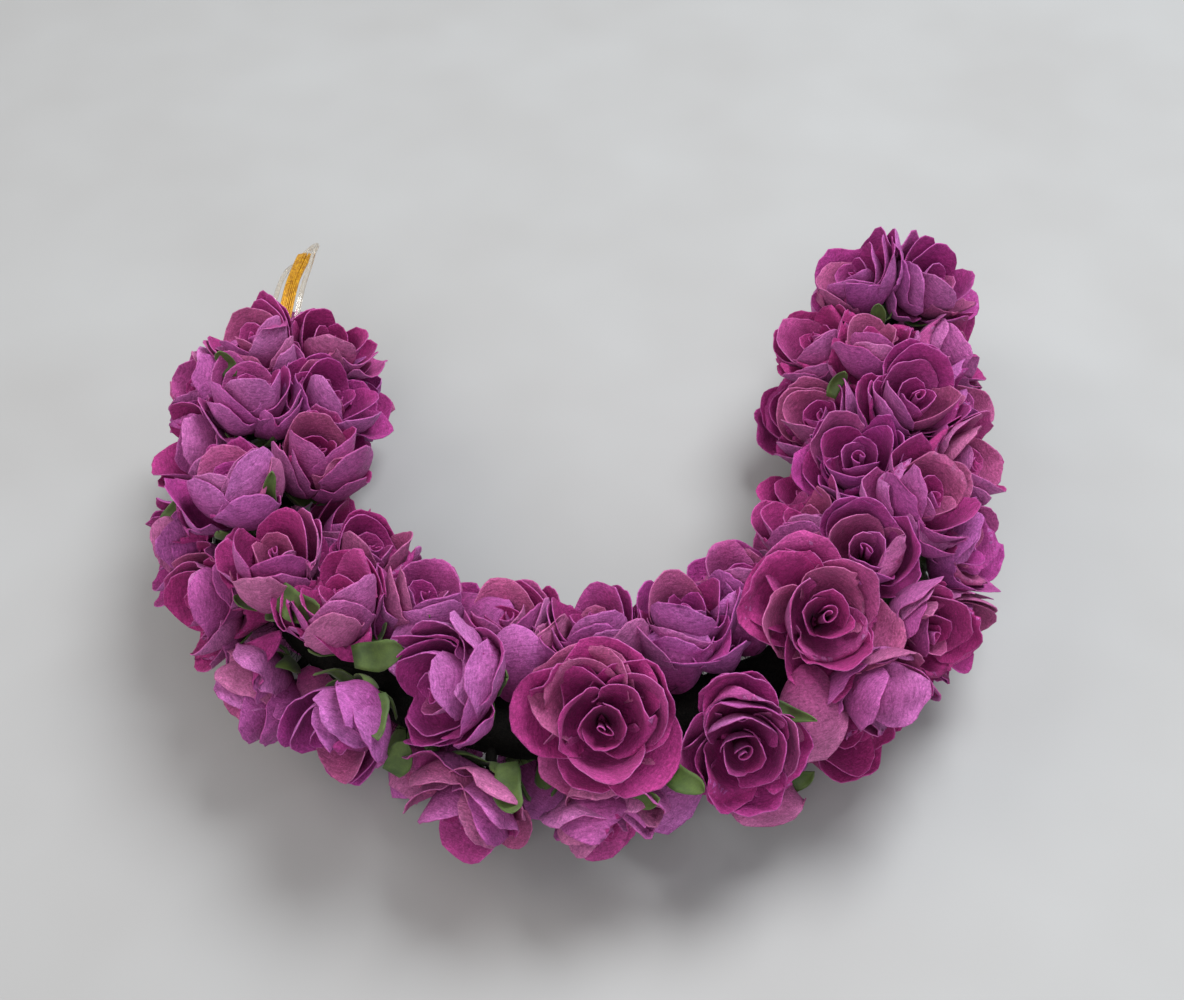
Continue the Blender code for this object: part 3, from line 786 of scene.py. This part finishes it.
class Nodes:
    """A new material's node tree, with short calls to add and join its nodes."""

    def __init__(self, name, roughness=0.6, metallic=0.0):
        self.material = bpy.data.materials.new(name)
        self.material.use_nodes = True
        self.tree = self.material.node_tree
        self.shader = self.tree.nodes["Principled BSDF"]
        self.shader.inputs["Roughness"].default_value = roughness
        self.shader.inputs["Metallic"].default_value = metallic

    def add(self, kind, inputs=(), **settings):
        """A node of a kind, with values or other nodes' outputs put into its inputs."""
        node = self.tree.nodes.new(kind)
        for name, value in settings.items():
            setattr(node, name, value)
        for key, value in dict(inputs).items():
            self.put(node.inputs[key], value)
        return node

    def put(self, socket, value):
        if isinstance(value, bpy.types.NodeSocket):
            self.tree.links.new(value, socket)
        elif isinstance(value, tuple) and len(value) == 3 and socket.type == "RGBA":
            socket.default_value = (*value, 1.0)
        else:
            socket.default_value = value

    def set(self, **values):
        for name, value in values.items():
            self.put(self.shader.inputs[name.replace("_", " ")], value)

    def noise(self, size, detail=3.0, roughness=0.55, distortion=0.0):
        """Noise with features of this size in millimetres, from 0 to 1."""
        made = self.add("ShaderNodeTexNoise", {
            "Vector": self.add("ShaderNodeTexCoord").outputs["Object"], "Scale": 1 / (size * MM),
            "Detail": detail, "Roughness": roughness, "Distortion": distortion,
        })
        return made.outputs["Fac"]

    def streaks(self, flat, thin, long, detail):
        """Noise drawn out along the petal, from the petal's flat place."""
        scale = (1 / thin, 1 / long, 1.0)
        made = self.add("ShaderNodeVectorMath", {0: flat, 1: scale}, operation="MULTIPLY")
        made = self.add("ShaderNodeTexNoise", {
            "Vector": made.outputs[0], "Scale": 1.0, "Detail": detail, "Roughness": 0.6, "Distortion": 0.6,
        })
        return made.outputs["Fac"]

    def attribute(self, name):
        return self.add("ShaderNodeAttribute", attribute_name=name)

    def times(self, first, second):
        return self.add("ShaderNodeMath", {0: first, 1: second}, operation="MULTIPLY").outputs[0]

    def ramp(self, value, low, high, to_low=0.0, to_high=1.0):
        """A value that goes evenly from one to another while the first goes from low to high."""
        made = self.add("ShaderNodeMapRange", {
            "Value": value, "From Min": low, "From Max": high, "To Min": to_low, "To Max": to_high,
        })
        return made.outputs["Result"]

    def mix(self, share, first, second, blend="MIX"):
        made = self.add("ShaderNodeMix", data_type="RGBA", blend_type=blend)
        self.put(made.inputs["Factor"], share)
        self.put(made.inputs[6], first)
        self.put(made.inputs[7], second)
        return made.outputs[2]

    def bump(self, height, distance, strength=1.0, before=None):
        """Bumps of a height in millimetres, on top of those before."""
        made = self.add("ShaderNodeBump", {
            "Height": height, "Distance": distance * MM, "Strength": strength,
        })
        if before is not None:
            self.put(made.inputs["Normal"], before)
        return made.outputs["Normal"]


def rose_paper():
    """Dyed mulberry paper: fibres along the petal, a lighter back and a soft sheen, with painted highlights
    on the cut edges and painted shade at the roots and in the crinkles.
    """
    made = Nodes("rose_paper", 0.62)
    petal_tone = made.attribute("petal")
    parts = made.add("ShaderNodeSeparateColor", {"Color": petal_tone.outputs["Color"]})
    random_tone, along, edge = parts.outputs
    back = petal_tone.outputs["Alpha"]
    rose_tone = made.attribute("rose").outputs["Fac"]
    flat = made.attribute("flat").outputs["Vector"]
    streaks = made.streaks(flat, 1.1, 0.28, 4.0)
    veins = made.streaks(flat, 0.9, 7.0, 2.0)
    fibres = made.noise(0.36, 5.0, 0.7, 1.5)
    crinkle_shading = made.noise(0.9, 4.0, 0.65, 1.2)
    grain = made.noise(1.1, 4.0, 0.75, 2.5)
    mottle = made.noise(2.2, 3.0, 0.6)
    blotch = made.noise(6.0, 2.0)
    # The inside is rose to magenta, and darker or paler from petal to petal.
    inside = made.mix(made.ramp(rose_tone, 0, 1), (0.46, 0.030, 0.20), (0.42, 0.040, 0.28))
    inside = made.mix(made.ramp(random_tone, 0.4, 0, 0.0, 0.8), inside, (0.35, 0.020, 0.15))
    inside = made.mix(made.ramp(random_tone, 0.6, 1, 0.0, 0.7), inside, (0.58, 0.15, 0.42))
    inside = made.mix(made.ramp(blotch, 0.42, 0.66, 0, 0.4), inside, (0.38, 0.024, 0.18))
    # The back is paler and more lilac: partly the paper's own lighter side, partly a painted highlight in
    # place of a stronger sheen.
    outside = made.mix(random_tone, (0.50, 0.10, 0.38), (0.66, 0.24, 0.55))
    outside = made.mix(made.ramp(rose_tone, 0.2, 1, 0, 0.5), outside, (0.50, 0.15, 0.52))
    outside = made.mix(made.ramp(streaks, 0.5, 0.36, 0.0, 0.25), outside, (0.30, 0.04, 0.26))
    # Some petals are faded to salmon, and all are darker towards the root, which is painted shade deep in
    # the rose.
    colour = made.mix(made.ramp(back, 0, 1, 0.1, 0.85), inside, outside)
    colour = made.mix(made.ramp(random_tone, 0.8, 0.88, 0.0, 0.6), colour, (0.48, 0.11, 0.23))
    colour = made.mix(made.ramp(along, 0.1, 0.85, 0.85, 0.0), colour, (0.15, 0.003, 0.07))
    # The fibres and specks of the paper, and painted shading of its small crinkles.
    speck = made.ramp(fibres, 0.34, 0.66, 0.72, 1.28)
    layers = ((streaks, 0.3, 0.22), (crinkle_shading, 0.32, 0.1), (grain, 0.38, 0.18), (mottle, 0.3, 0.1))
    for noise, low, depth in layers:
        speck = made.times(speck, made.ramp(noise, low, 1 - low, 1 - depth, 1 + depth))
    grey = made.add("ShaderNodeCombineColor", {0: speck, 1: speck, 2: speck}).outputs[0]
    colour = made.mix(1.0, colour, grey, "MULTIPLY")
    # Painted highlight: the cut edges made paler in patches, as where they catch the light.
    edge_highlight = made.times(made.ramp(edge, 0.5, 1.0), made.ramp(blotch, 0.35, 0.6, 0.22, 0.0))
    colour = made.mix(edge_highlight, colour, (0.56, 0.16, 0.42))
    made.set(Base_Color=colour, Roughness=made.ramp(mottle, 0.3, 0.7, 0.55, 0.75))
    normal = None
    layers = ((veins, 0.14, 0.6), (grain, 0.2, 0.7), (streaks, 0.14, 0.9), (fibres, 0.07, 0.6))
    for noise, depth, strength in layers:
        normal = made.bump(noise, depth, strength, normal)
    made.set(Normal=normal)
    made.set(Sheen_Weight=0.06, Sheen_Roughness=0.4, Sheen_Tint=(0.95, 0.6, 0.95), Specular_IOR_Level=0.2)
    return made.material


def calyx_paper():
    made = Nodes("calyx_paper", 0.6)
    parts = made.add("ShaderNodeSeparateColor", {"Color": made.attribute("petal").outputs["Color"]})
    fibres = made.noise(0.25, 4.0, 0.65, 1.0)
    colour = made.mix(made.ramp(made.noise(1.8), 0.35, 0.65), (0.04, 0.08, 0.012), (0.09, 0.155, 0.025))
    # Painted light and shade: lighter towards the tip, darker at the root under the rose.
    colour = made.mix(made.ramp(parts.outputs[1], 0.0, 1.0, 0.0, 0.4), colour, (0.125, 0.19, 0.035))
    colour = made.mix(made.ramp(fibres, 0.35, 0.7, 0.0, 0.35), colour, (0.02, 0.04, 0.01))
    made.set(Base_Color=colour, Normal=made.bump(fibres, 0.05, 0.6), Sheen_Weight=0.15)
    return made.material


def fuzzy_band():
    made = Nodes("fuzzy_band", 0.85)
    strands = made.noise(0.5, 4.0, 0.7, 2.0)
    colour = made.mix(made.ramp(strands, 0.35, 0.7), (0.003, 0.003, 0.003), (0.016, 0.014, 0.012))
    made.set(Base_Color=colour, Normal=made.bump(strands, 0.4, 0.9), Specular_IOR_Level=0.1)
    return made.material


def clear_elastic():
    made = Nodes("clear_elastic", 0.12)
    streak = made.noise(0.8, 2.0)
    made.set(Base_Color=made.mix(made.ramp(streak, 0.3, 0.7), (0.80, 0.70, 0.58), (0.92, 0.88, 0.80)))
    made.set(Normal=made.bump(streak, 0.05, 0.3), Transmission_Weight=0.9, IOR=1.45)
    return made.material


def gold_thread():
    made = Nodes("gold_thread", 0.34, 0.3)
    streak = made.noise(0.7, 3.0, 0.6, 1.5)
    colour = made.mix(made.ramp(streak, 0.35, 0.65), (0.34, 0.12, 0.002), (0.78, 0.42, 0.012))
    made.set(Base_Color=colour, Normal=made.bump(made.noise(0.15), 0.03, 0.5))
    made.set(Roughness=made.ramp(streak, 0.3, 0.7, 0.28, 0.45))
    return made.material


def pale_floor():
    made = Nodes("pale_floor", 0.55)
    soft = made.noise(40.0, 2.0)
    colour = made.mix(made.ramp(soft, 0.3, 0.7), (0.385, 0.38, 0.376), (0.417, 0.417, 0.416))
    made.set(Base_Color=colour, Normal=made.bump(made.noise(0.8, 3.0), 0.01, 0.3))
    return made.material


def set_camera():
    data = bpy.data.cameras.new("photo_camera")
    data.sensor_width = SENSOR
    data.lens = FOCAL_PIXELS / PICTURE[0] * SENSOR
    data.clip_start, data.clip_end = 0.01, 10.0
    camera = new_object("photo_camera", data)
    camera.location = (CAMERA_TARGET + NEARER * CAMERA_DISTANCE) * MM
    camera.rotation_euler = (-NEARER).to_track_quat("-Z", "Y").to_euler()
    bpy.context.scene.camera = camera


def area_light(name, place, size, watts, colour):
    """A round soft light at a place in metres that points at the garland."""
    data = bpy.data.lights.new(name, "AREA")
    data.shape = "DISK"
    data.size = size
    data.energy = watts
    data.color = colour
    light = new_object(name, data)
    light.location = place
    light.rotation_euler = (LIGHT_AIM - Vector(place)).to_track_quat("-Z", "Y").to_euler()


def set_light():
    world = bpy.data.worlds.new("studio")
    bpy.context.scene.world = world
    world.use_nodes = True
    ground = world.node_tree.nodes["Background"]
    ground.inputs["Color"].default_value = (0.92, 0.96, 1.0, 1.0)
    ground.inputs["Strength"].default_value = 0.48
    area_light("key", (0.22, 0.22, 0.60), 0.36, 4.0, (0.95, 0.98, 1.0))
    area_light("warm", (-0.45, 0.0, 0.45), 0.4, 0.9, (1.0, 0.9, 0.8))
    area_light("front", (-0.1, -0.6, 0.55), 0.45, 1.8, (1.0, 0.98, 0.97))
    bpy.context.scene.view_settings.view_transform = "Standard"


def make_floor():
    corners = np.array([(-1, -1), (1, -1), (1, 1), (-1, 1)], float) * FLOOR_REACH
    points = np.column_stack([corners, np.zeros(4)])
    data = bpy.data.meshes.new("floor")
    data.from_pydata((points * MM).tolist(), [], [(0, 1, 2, 3)])
    data.materials.append(pale_floor())
    floor = new_object("floor", data)


def make_cords():
    """The clear elastic loop, and the flat bundle of gold strands that lies in it."""
    line = end_route(CORD_ROUTE)
    loop = tube_curve("elastic_loop_clear", [line], CORD_DIAMETER / 2, 4, clear_elastic())
    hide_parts("elastic_loop")
    middle = end_route(THREAD_ROUTE, 4)
    chance = random.Random(SEED + 3)
    share = np.linspace(0, 1, len(middle))
    strands = []
    for number in range(THREAD_STRANDS):
        turn = 2 * math.pi * number / THREAD_STRANDS
        narrowing = THREAD_ROOT + (1 - THREAD_ROOT) * share
        wide = THREAD_BUNDLE[0] * math.cos(turn) * narrowing * chance.uniform(0.7, 1.0)
        deep = THREAD_BUNDLE[1] * math.sin(turn) * chance.uniform(0.7, 1.0)
        wave = STRAND_WAVE * np.sin(share * 9 + chance.uniform(0, 6))
        strands.append(middle + np.column_stack([wide + wave, np.zeros(len(middle)), deep + wave]))
    gold = tube_curve("gold_strands", strands, STRAND_RADIUS, 2, gold_thread())
    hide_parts("gold_thread")


def add_heart(shell, rose, chance):
    for spot, flat in (rolled_heart(chance), heart_floor()):
        shell.add(rose.world(spot), flat, HEART_SHADE_TONE, rim=0.0)


def add_rings(shell, rose, chance):
    """The rings of petals of a rose. A hidden one has fewer and plainer petals."""
    hidden = rose.row == "under"
    for number, ring in enumerate(RINGS):
        if (hidden and number not in HIDDEN_RINGS) or number in LEFT_OUT.get(rose.name, ()):
            continue
        grid = petal_grid(*(HIDDEN_GRID if hidden else ring["grid"]))
        count = ring["count"][rose.bloom > OPEN_FROM]
        for step in range(count):
            turn = rose.spin + number * RING_TURN + 2 * math.pi * step / count
            turn += chance.uniform(-PETAL_SWING, PETAL_SWING)
            spot, flat = petal(ring, number, rose.bloom, turn, chance, grid)
            ease = ring["room"] + EASE * step / count + EASE * chance.random() * ring["place"]
            tone = chance.random()
            if chance.random() > MISSING[number]:
                shell.add(rose.world(spot, ease), flat, tone)


def add_single_petals(shell, rose):
    """The listed petals of a rose."""
    grid = petal_grid(*OWN_GRID)
    for degrees, width, bloom in OWN_PETALS.get(rose.name, ()):
        chance = random.Random(f"{rose.name}{degrees}")
        ring = dict(RINGS[3], width=width)
        spot, flat = petal(ring, 0, bloom, rose.turn_to(degrees), chance, grid)
        shell.add(rose.world(spot, OWN_EASE), flat, chance.random())
    for pixel, heading, depth, width, length in LOW_PETALS.get(rose.name, ()):
        chance = random.Random(f"{rose.name}{heading}")
        profile = np.array(LOW_PROFILE) * length / LOW_PROFILE[-1][0]
        ring = dict(RINGS[-1], width=width, closed=profile, open=profile, wrap=LOW_WRAP, place=LOW_PLACE)
        spot, flat = petal(ring, 0, 0.5, 0.0, chance, grid)
        place = PicturePlace(pixel, heading, depth, turned=True)
        shell.add(place.world(spot), flat, chance.random())


def make_rose_group(node, members, paper):
    """All the petals of a node's roses as one mesh."""
    shell = Shell()
    for rose in members:
        chance = random.Random(f"{rose.node}{rose.spin:.3f}")
        if rose.row != "under":
            add_heart(shell, rose, chance)
        add_rings(shell, rose, chance)
        add_single_petals(shell, rose)
    tone = random.Random(node).random()
    petals = shell.mesh(node.replace("rose_", "petals_"), paper, tone)
    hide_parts(node)


def replace_band(*pieces):
    for piece in pieces:
        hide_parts("band_and_calyxes")


def make_lobes(roses, green):
    """The green lobes behind every rose, and the listed ones."""
    shell = Shell()
    for rose in roses:
        chance = random.Random(f"calyx{rose.spin:.3f}")
        for step in range(CALYX_LOBES):
            turn = rose.spin + 0.6 + 2 * math.pi * step / CALYX_LOBES + chance.uniform(-0.15, 0.15)
            spot, flat = sepal(turn, chance.uniform(*CALYX_LENGTHS), chance)
            shell.add(rose.world(spot), flat, chance.random())
    for pixel, heading, depth, length, half_width in LOBES:
        chance = random.Random(f"{pixel}{heading}")
        spot, flat = sepal(0.0, length, chance, half_width)
        place = PicturePlace(pixel, heading, depth, LOBE_TILT)
        shell.add(place.world(spot - (length / 2, 0, 0)), flat, chance.random())
    return shell.mesh("calyx_lobes", green)


def make_stems(roses, dark):
    """The stems from the band into the roses."""
    stems = []
    for rose in roses:
        root = rose.base + (rose.foot - rose.base).normalized() * STEM_ROOT
        end = rose.foot - rose.axis * 0.7
        stems.append(np.array([tuple(root), tuple((root + rose.foot) / 2), tuple(end)]))
    return tube_curve("calyx_stems", stems, STEM_RADIUS, 1, dark)


def band_grid(chance):
    """The uneven surface of the band, as rings of points along it."""
    first, last = BAND_ENDS[0], RUN - BAND_ENDS[1]
    stations, around = BAND_GRID
    turns = np.linspace(0, 2 * math.pi, around, endpoint=False)
    points = []
    for number in range(stations + 1):
        middle, along = band_point(first + (last - first) * number / stations)
        outer = np.array((along.y, -along.x, 0.0))
        close = min(number, stations - number, len(BAND_TAPER) - 1)
        radius = BAND_RADIUS * BAND_TAPER[close] - 0.15
        uneven = 1 + 0.04 * np.sin(3 * turns + number * 0.7) + chance.uniform(-0.03, 0.03, around)
        ring = np.outer(np.sin(turns) * radius * uneven, outer)
        ring[:, 2] += np.cos(turns) * radius * uneven
        points.append(np.array(middle) + ring)
    return np.array(points)


def make_core(grid, dark):
    index = np.arange(grid.shape[0] * grid.shape[1]).reshape(grid.shape[:2])
    beside = np.roll(index, -1, axis=1)
    quads = np.stack([index[:-1], index[1:], beside[1:], beside[:-1]], -1).reshape(-1, 4)
    return mesh_object("band_core", grid.reshape(-1, 3), quads, dark)


def make_fuzz(grid, chance, dark):
    """A coat of short curled fibres on the band, each a narrow strip."""
    stations, around = BAND_GRID
    pick_row = chance.integers(2, stations - 1, FIBRES)
    pick_turn = chance.integers(0, around, FIBRES)
    start = grid[pick_row, pick_turn] + chance.normal(0, 0.25, (FIBRES, 3))
    out = start - grid.mean(axis=1)[pick_row]
    out /= np.linalg.norm(out, axis=1)[:, None]
    heading = out + chance.normal(0, 0.8, (FIBRES, 3))
    heading /= np.linalg.norm(heading, axis=1)[:, None]
    curl = chance.normal(0, 0.9, (FIBRES, 3))
    length = chance.uniform(*FIBRE_LENGTHS, FIBRES)[:, None]
    thin = np.cross(heading, curl)
    thin *= FIBRE_HALF_WIDTH / np.linalg.norm(thin, axis=1)[:, None]
    rails = []
    for step in range(FIBRE_PARTS + 1):
        share = step / FIBRE_PARTS
        middle = start - out * 0.3 + heading * length * share + curl * length * 0.5 * share ** 2
        rails.append(np.stack([middle - thin, middle + thin], 1))
    rails = np.stack(rails, 1)
    strip = np.arange(rails.size // 3).reshape(rails.shape[:3])
    faces = np.stack([strip[:, :-1, 0], strip[:, :-1, 1], strip[:, 1:, 1], strip[:, 1:, 0]], -1)
    return mesh_object("band_fuzz", rails.reshape(-1, 3), faces.reshape(-1, 4), dark)


def lay_out_roses():
    """The roses in their places, turned and opened as in the picture, with the room that each has."""
    chance = random.Random(SEED + 1)
    roses = [Rose(*place, chance) for place in places()]
    spread(roses)
    for rose in roses:
        if rose.row in IN_VIEW:
            facing, bloom, move, spin = IN_VIEW[rose.row][rose.number - 1]
            rose.face(*facing, bloom)
            rose.nudge(*move)
            rose.spin += spin
        elif rose.name in END_NUDGES:
            rose.nudge(*END_NUDGES[rose.name])
    build_walls(roses)
    for rose in roses:
        rose.settle()
    return roses


def make_garland():
    roses = lay_out_roses()
    paper, green, dark = rose_paper(), calyx_paper(), fuzzy_band()
    for node in dict.fromkeys(rose.node for rose in roses):
        make_rose_group(node, [rose for rose in roses if rose.node == node], paper)
    replace_band(make_lobes(roses, green), make_stems(roses, dark))
    chance = np.random.default_rng(SEED)
    grid = band_grid(chance)
    replace_band(make_core(grid, dark), make_fuzz(grid, chance, dark))


set_camera()
set_light()
make_floor()
make_cords()
make_garland()
